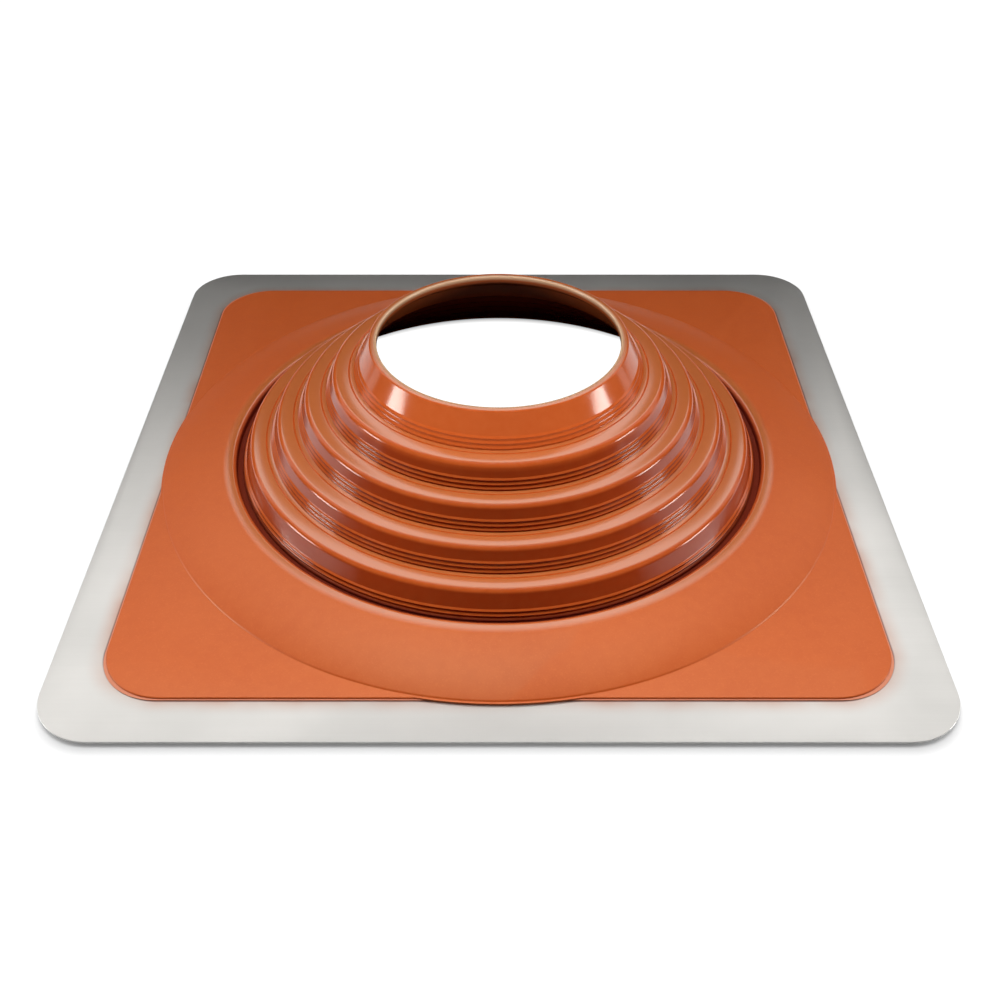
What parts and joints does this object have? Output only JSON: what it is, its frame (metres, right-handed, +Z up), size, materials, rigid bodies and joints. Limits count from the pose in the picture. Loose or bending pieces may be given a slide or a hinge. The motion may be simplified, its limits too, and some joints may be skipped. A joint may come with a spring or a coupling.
{
  "type": "pipe flashing boot",
  "caption": "Roof pipe flashing: stepped silicone cone on a square pad with an open rim for a round pipe, bonded over a square aluminium base sheet.",
  "frame": {"origin": "on the axis of the pipe opening, in the plane of the roof, at the underside of the aluminium base", "axes": "+Z up along the pipe axis, away from the roof; +X and +Y along the sides of the square base"},
  "size_m": [0.508, 0.508, 0.0955],
  "materials": {
    "silicone": "satin",
    "sheet": "mill"
  },
  "bodies": {
    "root": {"silicone_boot": "silicone", "aluminium_base": "sheet"}
  },
  "joints": []
}
